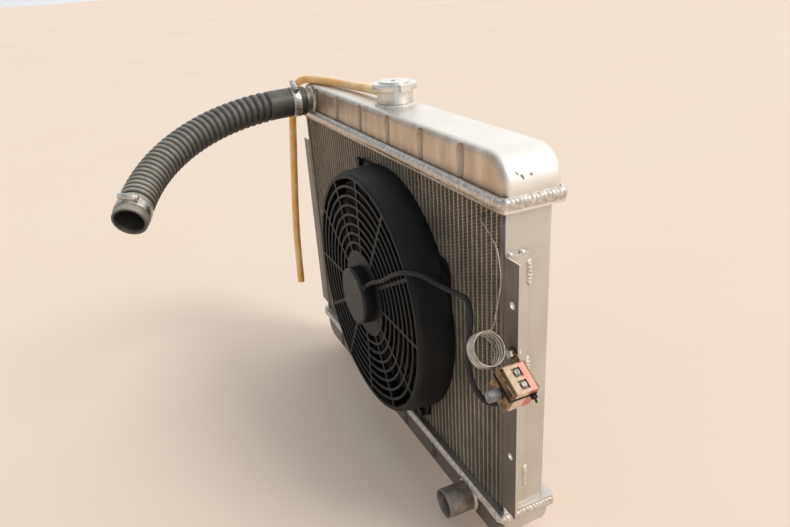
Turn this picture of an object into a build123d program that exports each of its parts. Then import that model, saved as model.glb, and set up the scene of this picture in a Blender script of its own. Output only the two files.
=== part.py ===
"""Aluminium down-flow engine radiator with its electric fan, fan switch and top hose.

Millimetres. +X is the vehicle's right, +Y its front, +Z up. The fan and the hose are on the
-Y side, towards the engine. The origin is the middle of the four bolt holes in the two
mounting angles, on the angles' engine-side faces.
"""
import os
from math import copysign, cos, pi, radians, sin, sqrt, tan

from build123d import *

os.makedirs("parts", exist_ok=True)

# Core: two rows of flat tubes with a strip of folded fin between each pair of columns
tube_pitch = 9.5
tube_columns = 64
tube_rows = 2
tube_width = 2.0
tube_depth = 26.0
tube_row_pitch = 27.0
core_height = 377.0
channel_wall = 2.0
channel_flange = 8.0
channel_bend = 3.0          # outside radius of the channel's folds
channel_gap = 5.25          # from the outer tubes' middle to the side channel's web

# Headers and tanks
header_overhang = 5.0       # beyond the side channels, at both ends and on the engine side
header_front = 14.0         # beyond the side channels, on the front
header_plate = 2.5
header_rim = 10.0
rim_wall = 3.0
header_corner = 4.0
weld_size = 3.0
tank_height = 56.0
tank_wall = 3.0
tank_end_radius = 34.0
tank_edge_radius = 9.0
rib_pitch = 91.0
rib_count = 6
rib_radius = 10.0           # of the round-nosed tool that presses a rib
rib_depth = 5.0
rib_foot_depth = 1.2
rib_foot = 1.0              # from the weld up to the foot of a rib
rib_head = 10.0             # from the tank's top down to the middle of the tool's round nose

# Mounting angles and the four frame bolts
angle_leg = 25.0
angle_wall = 3.0
angle_drop = 45.0           # from the top header down to the angles' tops
angle_rise = 10.0           # from the bottom header up to the angles' feet
frame_bolt_rows = 190.0
frame_bolt_edge = 11.0      # from the outward leg's free edge to the holes
frame_bolt_hole = 4.25

# Filler neck, overflow nipple and cap
filler_radius = 24.0
filler_wall = 2.0
filler_height = 27.5
filler_lip_reach = 4.0      # the lip stands this far out from the neck
filler_lip = 2.0
filler_notch = 15.0
nipple_radius = 4.8
nipple_bore = 3.2
nipple_reach = 46.0         # from the neck's axis to the nipple's end
nipple_gap = 5.5            # below the cap's skirt
cap_wall = 1.2
cap_skirt = 7.0
cap_dome_radius = 21.0
cap_dome = 3.5
cap_rivet_radius = 4.5
cap_rivet = 1.0
cap_ear_stand = 6.0         # the ears stand this far out from the cap
cap_ear_width = 15.0
cap_gap = 0.3
valve_radius = 12.0
valve_length = 9.0
valve_stem_radius = 6.0
valve_reach = 26.0          # from the cap down to the valve's end
valve_seat = 3.0
valve_seat_drop = 22.0      # below the nipple's mouth
valve_seat_gap = 2.0        # from the seat's edge to the neck's wall

# Hose necks
neck_radius = 19.0
neck_wall = 2.0
neck_reach = 38.0
neck_step = 0.5             # the spigot in the tank's wall is this much slimmer than the neck
neck_seat_gap = 0.1
neck_rise = 32.5            # from the core to a hose neck's middle
inlet_inset = 50.8          # from the tank's end to the neck's middle
outlet_inset = 76.5

# Drain cock
drain_inset = 76.5
drain_flange_radius = 9.0
drain_flange = 4.0
drain_stem_radius = 5.0
drain_stem = 16.0
drain_wing = 22.0
drain_wing_wall = 3.0
drain_wing_height = 8.0
drain_wing_drop = 14.0

# Top hose: a cuff, one long bend in a sloping plane and a second cuff
hose_wall = 3.9
hose_start = 12.0           # from the tank's face to the hose's end
hose_cuff_in = 21.0
hose_bend_radius = 298.3
hose_bend = 65.9
hose_cuff_out = 37.7
hose_plane_slope = 24.6
clamp_width = 13.0
clamp_band = 1.0
clamp_in_at = 17.0
clamp_out_at = 17.0         # back from the engine end
seat_gap = 0.1
worm_radius = 4.6           # of the housing that arches over the screw
worm_rise = 3.6             # from the band up to the screw's axis
worm_length = 16.0
worm_screw_radius = 3.4
worm_screw_end = 3.0        # the screw's tip shows this far past the housing
worm_head_radius = 4.6
worm_head = 6.0
worm_slot = 1.2
worm_slot_depth = 1.5

# Fan
fan_x = 23.5
fan_z = -6.5
fan_edge_gap = 6.0          # from the shroud's foot to the bottom header
shroud_flare = 3.0          # the shroud's foot is this much wider than its neck
shroud_rim = 5.0            # from the shroud's neck in to the guard's seat
shroud_depth = 47.0
shroud_wall = 3.0
shroud_shoulder = 7.0
shroud_lip = 4.0            # the rounded nose reaches this far in over the shoulder
guard_seat_width = 5.0
guard_seat_gap = 0.3
guard_thickness = 4.0
guard_ring_pitch = 13.2
guard_ring_width = 3.6
guard_ribs = 12
guard_rib_width = 5.0
guard_rib_turn = 29.0
hub_plate_radius = 60.0
ear_angle = 26.6
ear_run = 30.0              # degrees from an ear's tip back along its straight edge
ear_end = 9.0
ear_stand = 14.0            # the ears stand this far out from the shroud's foot
ear_thickness = 4.0
tie_stand = 9.0
tie_radius = 1.6
tie_head_radius = 6.5
tie_head = 5.0
tie_hole_gap = 0.2
motor_radius = 41.0
motor_height = 17.0
motor_pilot_radius = 16.0
motor_pilot = 6.0
motor_outlet_turn = 38.0
motor_outlet_reach = 48.0
motor_outlet_rise = 9.0     # from the guard's face to the lead's boss
motor_outlet_radius = 4.5
motor_edge = 4.0
shaft_radius = 4.0
shaft_gap = 0.05
shaft_length = 18.0
shaft_end_gap = 1.0
hub_radius = 52.0
hub_depth = 26.0
hub_wall = 3.0
hub_gap = 3.5
blade_count = 10
blade_gap = 10.0            # from the blades' tips to the guard's seat
blade_root = 4.0            # the blades start this deep in the hub
blade_thickness = 2.6

# Fan switch on its bracket, turned about Y on the right mounting angle
switch_turn = 30.0
switch_length = 31.0
switch_height = 35.0
switch_depth = 24.0
switch_out = 40.7           # from the side channel to the switch's middle
switch_z = 19.6
bracket_wall = 1.5
bracket_gap = 4.0
bracket_tab_width = 12.0
switch_bolt_out = 16.0
switch_bolt_z = 41.5
switch_bolt_radius = 3.0
switch_bolt_gap = 0.2
knob_radius = 6.0
knob_length = 13.0
knob_shaft = 3.0
knob_up = -4.0
knob_stand = 0.5
terminal_pitch = 14.0
terminal_size = 10.0
terminal_depth = 2.0
terminal_screw = 3.2
bolt_head_radius = 5.5
bolt_head = 4.0
bolt_end = 2.0
switch_tie_edge = 4.3       # from the switch's upper edge down to the tie
switch_tie_wall = 1.2
switch_tie_width = 3.6
tie_lock_length = 7.0
tie_lock_height = 5.0
tie_lock_inset = 8.0        # from the bracket's outer face

# Capillary from the switch to the fins
capillary_radius = 0.7
coil_out = 9.0
coil_y = -29.0
coil_z = 50.5
coil_radius = 18.3
coil_length = 26.0
coil_tilt = 36.9            # of the coil's axis above +X
stub_up = 4.0
stub_length = 11.0
coil_lead = 7.0             # the run that leaves the coil along its axis

# Cords
overflow_radius = 6.5
lead_radius = 3.0
lead_straight = 20.0
lead_drop = 14.0            # below the switch, where the lead turns up to it

# Places that follow from the sizes above
channel_depth = tube_row_pitch * (tube_rows - 1) + tube_depth + 2 * channel_wall
middle_y = channel_depth / 2
core_face_y = channel_wall
core_depth = channel_depth - 2 * channel_wall
core_half = (tube_columns - 1) * tube_pitch / 2
web_inner_x = core_half + channel_gap
side_x = web_inner_x + channel_wall
header_length = 2 * (side_x + header_overhang)
header_depth = channel_depth + header_overhang + header_front
tank_y = middle_y + (header_front - header_overhang) / 2
core_top = core_height / 2
plate_top = core_top + header_plate
rim_top = core_top + header_rim
tank_top = core_top + tank_height
tank_length = header_length - 2 * rim_wall
tank_depth = header_depth - 2 * rim_wall
tank_face_y = tank_y - tank_depth / 2
inlet_x = inlet_inset - tank_length / 2
outlet_x = tank_length / 2 - outlet_inset
drain_x = drain_inset - tank_length / 2
spigot_radius = neck_radius - neck_step
hose_bore = neck_radius + seat_gap
hose_radius = hose_bore + hose_wall
filler_top = tank_top + filler_height
filler_lip_radius = filler_radius + filler_lip_reach
cap_radius = filler_lip_radius + cap_gap + cap_wall
shroud_base_radius = core_top - abs(fan_z) - fan_edge_gap
shroud_neck_radius = shroud_base_radius - shroud_flare
guard_seat_radius = shroud_neck_radius - shroud_rim
guard_rings = int((guard_seat_radius - hub_plate_radius) / guard_ring_pitch)
blade_radius = guard_seat_radius - blade_gap
tie_reach = shroud_base_radius + tie_stand
guard_face_y = core_face_y - shroud_depth
guard_back_y = guard_face_y + guard_thickness
fan_plane = Plane(origin=(fan_x, 0, fan_z), x_dir=(1, 0, 0), z_dir=(0, -1, 0))
fan_axis = Axis((fan_x, 0, fan_z), (0, 1, 0))
ear_plane = fan_plane.offset(-core_face_y)
switch_x = side_x + switch_out
switch_bolt_x = side_x + switch_bolt_out
coil_x = side_x + coil_out


def polar(radius, degrees):
    return radius * cos(radians(degrees)), radius * sin(radians(degrees))


def tie_point(degrees):
    """A tie's place on the fan's ears, in the middle of a fin strip, where it can pass the core."""
    across, up = polar(tie_reach, degrees)
    tie_x = tube_pitch * round((fan_x + across) / tube_pitch)
    return tie_x, fan_z + copysign(sqrt(tie_reach**2 - (tie_x - fan_x)**2), up)


tie_points = [tie_point(ear_angle + 90 * quarter) for quarter in range(4)]


def write(name, block):
    block.part.label = name
    export_step(block.part, f"parts/{name}.step")


# Core tubes
with BuildPart() as core_tubes:
    with BuildSketch(Plane.XY.offset(-core_height / 2)):
        with Locations((0, middle_y)):
            with GridLocations(tube_pitch, tube_row_pitch, tube_columns, tube_rows):
                Rectangle(tube_width, tube_depth)
    extrude(amount=core_height)
write("core_tubes", core_tubes)

# Folded fins, each strip as one block
end_strip = channel_gap - tube_width / 2
with BuildPart() as core_fins:
    with BuildSketch(Plane.XY.offset(-core_height / 2)):
        with Locations((0, middle_y)):
            with GridLocations(tube_pitch, core_depth, tube_columns - 1, 1):
                Rectangle(tube_pitch - tube_width, core_depth)
            with GridLocations(2 * web_inner_x - end_strip, core_depth, 2, 1):
                Rectangle(end_strip, core_depth)
    extrude(amount=core_height)
    with BuildSketch(Plane.XZ):
        with Locations(*tie_points):
            Circle(tie_radius + tie_hole_gap)
    extrude(amount=-channel_depth, mode=Mode.SUBTRACT)
write("core_fins", core_fins)

# Side channels
for side, name in ((-1, "side_channel_left"), (1, "side_channel_right")):
    inward = Align.MIN if side < 0 else Align.MAX
    with BuildPart() as side_channel:
        with BuildSketch(Plane.XY.offset(-core_height / 2)) as profile:
            with Locations((side * side_x, middle_y)):
                Rectangle(channel_wall, channel_depth, align=(inward, Align.CENTER))
                with GridLocations(1, channel_depth - channel_wall, 1, 2):
                    Rectangle(channel_flange, channel_wall, align=(inward, Align.CENTER))
            inner_corners, outer_corners = profile.vertices().group_by(Axis.X)[1::side][:2]
            fillet(outer_corners, radius=channel_bend)
            fillet(inner_corners, radius=channel_bend - channel_wall)
        extrude(amount=core_height)
    write(name, side_channel)

# Headers: a plate with an upstanding rim that the tank is welded into
with BuildPart() as top_header:
    with BuildSketch(Plane.XY.offset(core_top)):
        with Locations((0, tank_y)):
            RectangleRounded(header_length, header_depth, header_corner)
    extrude(amount=header_plate)
    with BuildSketch(Plane.XY.offset(plate_top)):
        with Locations((0, tank_y)):
            RectangleRounded(header_length, header_depth, header_corner)
            Rectangle(tank_length, tank_depth, mode=Mode.SUBTRACT)
    extrude(amount=header_rim - header_plate)
write("top_header", top_header)

with BuildPart() as bottom_header:
    mirror(top_header.part, about=Plane.XY)
write("bottom_header", bottom_header)


def tank_block(inset):
    """The rounded tank, or with an inset the space inside its wall."""
    with BuildPart() as block:
        with BuildSketch(Plane.XZ.offset(-(tank_face_y + tank_depth - inset))) as outline:
            with Locations((0, plate_top)):
                Rectangle(tank_length - 2 * inset, tank_top - plate_top - inset,
                          align=(Align.CENTER, Align.MIN))
            fillet(outline.vertices().group_by(Axis.Y)[-1], radius=tank_end_radius - inset)
        extrude(amount=tank_depth - 2 * inset)
        long_edges = block.faces().filter_by(Axis.Y).edges()
        foot_edges = long_edges.group_by(Axis.Z)[0]
        fillet(long_edges - foot_edges, radius=tank_edge_radius - inset)
    return block.part


def rib_rods(wall):
    """The tools that press the ribs into both long walls, thicker by the wall for its inner side."""
    with BuildPart() as rods:
        for face_y, outward in ((tank_face_y, -1), (tank_face_y + tank_depth, 1)):
            foot = Vector(0, face_y + outward * (rib_radius - rib_foot_depth), rim_top + weld_size + rib_foot)
            nose = Vector(0, face_y + outward * (rib_radius - rib_depth), tank_top - rib_head)
            with BuildSketch(Plane(origin=foot, x_dir=(1, 0, 0), z_dir=nose - foot)):
                with GridLocations(rib_pitch, 1, rib_count, 1):
                    Circle(rib_radius + wall)
            extrude(amount=(nose - foot).length)
            with Locations(nose):
                with GridLocations(rib_pitch, 1, rib_count, 1):
                    Sphere(rib_radius + wall)
    return rods.part


# Tanks: one bent shell shape for both, opened for its own fittings
with BuildPart() as tank_space:
    add(tank_block(tank_wall))
    add(rib_rods(tank_wall), mode=Mode.SUBTRACT)

with BuildPart() as tank_shell:
    add(tank_block(0))
    with BuildSketch(Plane.XY.offset(rim_top)):
        with Locations((0, tank_y)):
            RectangleRounded(header_length, header_depth, header_corner)
    extrude(amount=weld_size, taper=44)
    add(tank_space.part, mode=Mode.SUBTRACT)
    add(rib_rods(0), mode=Mode.SUBTRACT)

with BuildPart() as top_tank:
    add(tank_shell.part)
    with Locations((0, tank_y, tank_top)):
        Cylinder(filler_radius + neck_seat_gap, 3 * tank_wall, mode=Mode.SUBTRACT)
    with BuildSketch(Plane.XZ.offset(-tank_face_y - 2 * tank_wall)):
        with Locations((inlet_x, core_top + neck_rise)):
            Circle(spigot_radius + neck_seat_gap)
    extrude(amount=4 * tank_wall, mode=Mode.SUBTRACT)
write("top_tank", top_tank)

with BuildPart() as bottom_tank:
    mirror(tank_shell.part, about=Plane.XY)
    with BuildSketch(Plane.XZ.offset(-tank_face_y - 2 * tank_wall)):
        with Locations((outlet_x, -core_top - neck_rise)):
            Circle(spigot_radius + neck_seat_gap)
    extrude(amount=4 * tank_wall, mode=Mode.SUBTRACT)
write("bottom_tank", bottom_tank)

# Hose necks: a plain tube whose slimmer spigot goes through the tank's wall
for name, neck_x, neck_z in (
    ("inlet_neck", inlet_x, core_top + neck_rise),
    ("outlet_neck", outlet_x, -core_top - neck_rise),
):
    with BuildPart() as hose_neck:
        with BuildSketch(Plane.XY.offset(neck_z)):
            with BuildLine():
                bore_x = neck_x + neck_radius - neck_wall
                Polyline(
                    (bore_x, tank_face_y - neck_reach),
                    (neck_x + neck_radius, tank_face_y - neck_reach),
                    (neck_x + neck_radius, tank_face_y),
                    (neck_x + spigot_radius, tank_face_y),
                    (neck_x + spigot_radius, tank_face_y + tank_wall),
                    (bore_x, tank_face_y + tank_wall),
                    close=True,
                )
            make_face()
        revolve(axis=Axis((neck_x, 0, neck_z), (0, 1, 0)))
    write(name, hose_neck)

# Drain cock in the floor of the bottom tank
with BuildPart() as drain_cock:
    with Locations((drain_x, tank_y, -tank_top)):
        Cylinder(drain_flange_radius, drain_flange, align=(Align.CENTER, Align.CENTER, Align.MAX))
        Cylinder(drain_stem_radius, drain_stem, align=(Align.CENTER, Align.CENTER, Align.MAX))
    with Locations((drain_x, tank_y, -tank_top - drain_wing_drop)):
        Box(drain_wing, drain_wing_wall, drain_wing_height, align=(Align.CENTER, Align.CENTER, Align.MAX))
write("drain_cock", drain_cock)

# Mounting angles
angle_top = core_top - angle_drop
angle_length = core_height - angle_drop - angle_rise
bolt_x = side_x + angle_leg - frame_bolt_edge
for side, name in ((-1, "mounting_angle_left"), (1, "mounting_angle_right")):
    near = Align.MIN if side > 0 else Align.MAX
    with BuildPart() as mounting_angle:
        with BuildSketch(Plane.XY.offset(angle_top)):
            with Locations((side * side_x, 0)):
                Rectangle(angle_wall, angle_leg + angle_wall, align=(near, Align.MIN))
                Rectangle(angle_leg, angle_wall, align=(near, Align.MIN))
        extrude(amount=-angle_length)
        with BuildSketch(Plane.XZ):
            with Locations((side * bolt_x, 0)):
                with GridLocations(1, frame_bolt_rows, 1, 2):
                    Circle(frame_bolt_hole)
            if side > 0:
                with Locations((switch_bolt_x, switch_bolt_z)):
                    Circle(switch_bolt_radius + switch_bolt_gap)
        extrude(amount=-angle_wall, mode=Mode.SUBTRACT)
    write(name, mounting_angle)

# Filler neck with its cam lip and overflow nipple
nipple_z = filler_top + cap_gap - cap_skirt - nipple_gap - nipple_radius
with BuildPart() as filler_neck:
    with BuildSketch(Plane.XY.offset(tank_top - tank_wall)):
        with Locations((0, tank_y)):
            Circle(filler_radius)
    extrude(amount=filler_height + tank_wall)
    with BuildSketch(Plane.XY.offset(filler_top - filler_lip)):
        with Locations((0, tank_y)):
            Circle(filler_lip_radius)
            Rectangle(2 * filler_lip_radius, filler_notch, mode=Mode.SUBTRACT)
    extrude(amount=filler_lip)
    with BuildSketch(Plane.YZ):
        with Locations((tank_y, nipple_z)):
            Circle(nipple_radius)
    extrude(amount=-nipple_reach)
    with Locations((0, tank_y, filler_top)):
        Cylinder(filler_radius - filler_wall, filler_height + 2 * tank_wall,
                 align=(Align.CENTER, Align.CENTER, Align.MAX), mode=Mode.SUBTRACT)
    with BuildSketch(Plane.YZ):
        with Locations((tank_y, nipple_z)):
            Circle(nipple_bore)
    extrude(amount=-nipple_reach, mode=Mode.SUBTRACT)
write("filler_neck", filler_neck)

# Cap: a pressed disc with a skirt, a raised middle and two ears
cap_floor = filler_top + cap_gap
with BuildPart() as radiator_cap:
    with BuildSketch(Plane.XY.offset(cap_floor - cap_skirt)):
        with Locations((0, tank_y)):
            Circle(cap_radius)
            Rectangle(2 * (cap_radius + cap_ear_stand), cap_ear_width)
    extrude(amount=cap_skirt + cap_wall)
    with BuildSketch(Plane.XY.offset(cap_floor)):
        with Locations((0, tank_y)):
            Circle(cap_dome_radius)
    extrude(amount=cap_dome)
    fillet(radiator_cap.edges().group_by(Axis.Z)[-1], radius=cap_wall)
    with Locations((0, tank_y, cap_floor + cap_dome)):
        Cylinder(cap_rivet_radius, cap_rivet, align=(Align.CENTER, Align.CENTER, Align.MIN))
    with Locations((0, tank_y, cap_floor)):
        Cylinder(cap_radius - cap_wall, cap_skirt,
                 align=(Align.CENTER, Align.CENTER, Align.MAX), mode=Mode.SUBTRACT)
write("radiator_cap", radiator_cap)

# Pressure valve under the cap
with BuildPart() as cap_valve:
    with Locations((0, tank_y, cap_floor)):
        Cylinder(valve_radius, valve_length, align=(Align.CENTER, Align.CENTER, Align.MAX))
        Cylinder(valve_stem_radius, valve_reach, align=(Align.CENTER, Align.CENTER, Align.MAX))
    with Locations((0, tank_y, cap_floor - valve_seat_drop)):
        Cylinder(filler_radius - filler_wall - valve_seat_gap, valve_seat,
                 align=(Align.CENTER, Align.CENTER, Align.MAX))
write("cap_valve", cap_valve)

# Fan shroud: a deep ring on the core with a seat for the guard and four ears
with BuildPart() as fan_shroud:
    with BuildSketch(Plane.XY.offset(fan_z)):
        with BuildLine():
            seat_y = guard_back_y
            foot = (fan_x + shroud_base_radius, core_face_y)
            shoulder = (fan_x + shroud_neck_radius, guard_face_y + shroud_shoulder)
            nose = (fan_x + shroud_neck_radius - shroud_lip, guard_face_y)
            rim = (fan_x + guard_seat_radius + guard_seat_gap, guard_face_y)
            seat_outer = (rim[0], seat_y)
            seat_inner = (fan_x + guard_seat_radius - guard_seat_width, seat_y)
            seat_under = (seat_inner[0], seat_y + shroud_wall)
            wall_top = (shoulder[0] - shroud_wall, seat_y + shroud_wall)
            wall_foot = (foot[0] - shroud_wall, core_face_y)
            Line(foot, shoulder)
            TangentArc(shoulder, nose, tangent=(shoulder[0] - foot[0], shoulder[1] - foot[1]))
            Polyline(nose, rim, seat_outer, seat_inner, seat_under, wall_top, wall_foot, foot)
        make_face()
    revolve(axis=fan_axis)
    ear_foot = shroud_base_radius - shroud_wall / 2
    ear_tip = shroud_base_radius + ear_stand
    for quarter in range(4):
        turn = ear_angle + 90 * quarter
        with BuildSketch(ear_plane):
            with BuildLine():
                Polyline(
                    polar(ear_foot, turn - 2),
                    polar(ear_foot, turn - ear_run),
                    polar(ear_tip, turn),
                    polar(ear_tip, turn + ear_end / 2),
                    polar(ear_foot, turn + ear_end),
                    close=True,
                )
            make_face()
        extrude(amount=ear_thickness)
    with BuildSketch(Plane.XZ):
        with Locations(*tie_points):
            Circle(tie_radius + tie_hole_gap)
    extrude(amount=2 * ear_thickness, both=True, mode=Mode.SUBTRACT)
write("fan_shroud", fan_shroud)

# Guard: rings on spokes round the motor's plate
with BuildPart() as fan_guard:
    with BuildSketch(fan_plane.offset(-guard_back_y)):
        Circle(guard_seat_radius)
        Circle(guard_seat_radius - guard_ring_width, mode=Mode.SUBTRACT)
        for ring in range(1, guard_rings + 1):
            ring_radius = guard_seat_radius - ring * guard_ring_pitch
            with BuildSketch(mode=Mode.ADD):
                Circle(ring_radius)
                Circle(ring_radius - guard_ring_width, mode=Mode.SUBTRACT)
        Circle(hub_plate_radius)
        for rib in range(guard_ribs):
            with Locations(Location((0, 0, 0), (0, 0, guard_rib_turn + rib * 360 / guard_ribs))):
                with Locations((guard_seat_radius / 2, 0)):
                    Rectangle(guard_seat_radius - 1, guard_rib_width)
        Circle(motor_pilot_radius + neck_seat_gap, mode=Mode.SUBTRACT)
    extrude(amount=guard_thickness)
write("fan_guard", fan_guard)

# Motor on the guard's plate, with a boss for its lead
outlet_turn = radians(motor_outlet_turn)
outlet_way = fan_plane.x_dir * cos(outlet_turn) + fan_plane.y_dir * sin(outlet_turn)
outlet_root = fan_plane.origin + Vector(0, guard_face_y - motor_outlet_rise, 0)
with BuildPart() as fan_motor:
    with BuildSketch(fan_plane.offset(-guard_face_y)):
        Circle(motor_radius)
    extrude(amount=motor_height)
    fillet(fan_motor.edges().filter_by(GeomType.CIRCLE).sort_by(Axis.Y)[0], radius=motor_edge)
    with BuildSketch(fan_plane.offset(-guard_face_y)):
        Circle(motor_pilot_radius)
    extrude(amount=-motor_pilot)
    with BuildSketch(Plane(origin=outlet_root, z_dir=outlet_way)):
        Circle(motor_outlet_radius)
    extrude(amount=motor_outlet_reach)
    with BuildSketch(fan_plane.offset(-guard_face_y - motor_pilot)):
        Circle(shaft_radius + shaft_gap)
    extrude(amount=shaft_length, mode=Mode.SUBTRACT)
write("fan_motor", fan_motor)

# Rotor: hub bowl, shaft and swept blades
blade_sections = (  # radius, sweep back, chord, pitch
    (hub_radius - blade_root, 0, 34, 38),
    ((hub_radius + blade_radius) / 2, 12, 44, 30),
    (blade_radius, -4, 40, 22),
)
with BuildPart() as fan_blade:
    for radius, sweep_back, chord, pitch in blade_sections:
        tilt_way = (0, cos(radians(pitch)), sin(radians(pitch)))
        with BuildSketch(Plane(origin=(radius, sweep_back, 0), x_dir=tilt_way, z_dir=(1, 0, 0))):
            Rectangle(chord, blade_thickness)
    loft()

hub_front = -guard_back_y - hub_gap
hub_middle = hub_front - hub_depth / 2
with BuildPart() as fan_rotor:
    with BuildSketch(fan_plane.offset(hub_front)):
        Circle(hub_radius)
    extrude(amount=-hub_depth)
    for blade in range(blade_count):
        add(fan_plane.offset(hub_middle).location * Rot(0, 0, 360 / blade_count * blade) * fan_blade.part)
    with BuildSketch(fan_plane.offset(hub_front - hub_wall)):
        Circle(hub_radius - hub_wall)
    extrude(amount=-hub_depth, mode=Mode.SUBTRACT)
    with BuildSketch(fan_plane.offset(hub_front - hub_wall)):
        Circle(shaft_radius)
    extrude(amount=hub_wall + hub_gap + shaft_length - motor_pilot - shaft_end_gap)
write("fan_rotor", fan_rotor)

# Ties that hold the shroud's ears through the core
tie_front = Plane.XZ.offset(channel_wall - channel_depth)
with BuildPart() as fan_ties:
    with BuildSketch(tie_front):
        with Locations(*tie_points):
            Circle(tie_radius)
    extrude(amount=core_depth + ear_thickness)
    for plane in (tie_front.offset(-tie_head), Plane.XZ.offset(ear_thickness - core_face_y)):
        with BuildSketch(plane):
            with Locations(*tie_points):
                Circle(tie_head_radius)
        extrude(amount=tie_head)
write("fan_ties", fan_ties)

# Top hose along its route
slope = radians(hose_plane_slope)
hose_origin = Vector(inlet_x, tank_face_y - hose_start, core_top + neck_rise)
hose_plane = Plane(origin=hose_origin, x_dir=(0, -1, 0), z_dir=(sin(slope), 0, cos(slope)))
with BuildPart() as top_hose:
    with BuildLine(hose_plane) as hose_route:
        cuff = Line((0, 0), (hose_cuff_in, 0))
        bend = JernArc(start=cuff @ 1, tangent=(1, 0), radius=hose_bend_radius, arc_size=hose_bend)
        end = Line(bend @ 1, bend @ 1 + (bend % 1) * hose_cuff_out)
    with BuildSketch(Plane(origin=hose_route.line @ 0, z_dir=hose_route.line % 0)):
        Circle(hose_radius)
        Circle(hose_bore, mode=Mode.SUBTRACT)
    sweep()
write("top_hose", top_hose)

# Hose clamps: a band with its worm housing, one near each end of the hose
clamp_seat = hose_radius + seat_gap
for name, at, face in (("hose_clamp_inlet", clamp_in_at, 1), ("hose_clamp_engine", clamp_out_at, -1)):
    run = cuff if face > 0 else end
    middle = (run @ 0 if face > 0 else run @ 1) + (run % 0) * at * face
    clamp_plane = Plane(origin=middle, x_dir=hose_plane.z_dir, z_dir=run % 0)
    band_radius = clamp_seat + clamp_band
    screw_plane = Plane(
        origin=middle + clamp_plane.x_dir * (band_radius + worm_rise),
        x_dir=clamp_plane.x_dir,
        z_dir=clamp_plane.y_dir,
    )
    with BuildPart() as hose_clamp:
        with BuildSketch(clamp_plane.offset(-clamp_width / 2)):
            Circle(band_radius)
        extrude(amount=clamp_width)
        with BuildSketch(screw_plane.offset(-worm_length / 2)):
            Circle(worm_radius)
            Rectangle(2 * worm_rise, 2 * worm_radius, align=(Align.MAX, Align.CENTER))
        extrude(amount=worm_length)
        with BuildSketch(screw_plane.offset(-worm_length / 2 - worm_screw_end)):
            Circle(worm_screw_radius)
        extrude(amount=worm_screw_end)
        with BuildSketch(screw_plane.offset(worm_length / 2)):
            RegularPolygon(worm_head_radius, 6)
        extrude(amount=worm_head)
        with BuildSketch(screw_plane.offset(worm_length / 2 + worm_head - worm_slot_depth)):
            Rectangle(2 * worm_head_radius, worm_slot)
        extrude(amount=worm_slot_depth, mode=Mode.SUBTRACT)
        with BuildSketch(clamp_plane.offset(-clamp_width / 2)):
            Circle(clamp_seat)
        extrude(amount=clamp_width, mode=Mode.SUBTRACT)
    write(name, hose_clamp)


def on_switch(across, up, out):
    """A point of the switch's own frame in the part's frame."""
    return switch_plane.from_local_coords(Vector(across, up, out))


# Fan switch: bracket, body, knob, bolt and cable tie
switch_plane = Plane(
    origin=(switch_x, 0, switch_z),
    x_dir=(cos(radians(switch_turn)), 0, -sin(radians(switch_turn))),
    z_dir=(0, -1, 0),
)
bolt_local = switch_plane.to_local_coords(Vector(switch_bolt_x, 0, switch_bolt_z))
web_x = -switch_length / 2
bracket_depth = 2 * bracket_wall + switch_depth + bracket_gap
with BuildPart() as switch_bracket:
    with BuildSketch(switch_plane):
        Rectangle(switch_length, switch_height)
        with BuildLine():
            tab_low = bolt_local.Y - bracket_tab_width / 2
            tab_high = tab_low + bracket_tab_width
            Polyline((bolt_local.X, tab_low), (web_x, tab_low), (web_x, tab_high), (bolt_local.X, tab_high))
            RadiusArc((bolt_local.X, tab_high), (bolt_local.X, tab_low), -bracket_tab_width / 2)
        make_face()
        with Locations((bolt_local.X, bolt_local.Y)):
            Circle(switch_bolt_radius + switch_bolt_gap, mode=Mode.SUBTRACT)
    extrude(amount=bracket_wall)
    with BuildSketch(switch_plane):
        with Locations((web_x, 0)):
            Rectangle(bracket_wall, switch_height, align=(Align.MAX, Align.CENTER))
    extrude(amount=bracket_depth)
    with BuildSketch(switch_plane.offset(bracket_depth - bracket_wall)):
        with Locations((web_x, 0)):
            Rectangle(switch_length, switch_height, align=(Align.MIN, Align.CENTER))
        with Locations((0, knob_up)):
            Circle(knob_shaft + switch_bolt_gap, mode=Mode.SUBTRACT)
    extrude(amount=bracket_wall)
write("switch_bracket", switch_bracket)

terminal_plane = Plane(
    origin=on_switch(0, switch_height / 2, bracket_wall + switch_depth / 2),
    x_dir=switch_plane.x_dir,
    z_dir=switch_plane.y_dir,
)
with BuildPart() as switch_body:
    with BuildSketch(switch_plane.offset(bracket_wall)):
        Rectangle(switch_length, switch_height)
    extrude(amount=switch_depth)
    with BuildSketch(terminal_plane):
        with GridLocations(terminal_pitch, 1, 2, 1):
            Rectangle(terminal_size, terminal_size)
    extrude(amount=-terminal_depth, mode=Mode.SUBTRACT)
    with BuildSketch(terminal_plane.offset(-terminal_depth)):
        with GridLocations(terminal_pitch, 1, 2, 1):
            Circle(terminal_screw)
    extrude(amount=terminal_depth)
write("switch_body", switch_body)

with BuildPart() as switch_knob:
    with BuildSketch(switch_plane.offset(bracket_wall + switch_depth)):
        with Locations((0, knob_up)):
            Circle(knob_shaft)
    extrude(amount=bracket_gap + bracket_wall + knob_stand)
    with BuildSketch(switch_plane.offset(bracket_depth + knob_stand)):
        with Locations((0, knob_up)):
            Circle(knob_radius)
    extrude(amount=knob_length)
write("switch_knob", switch_knob)

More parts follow.
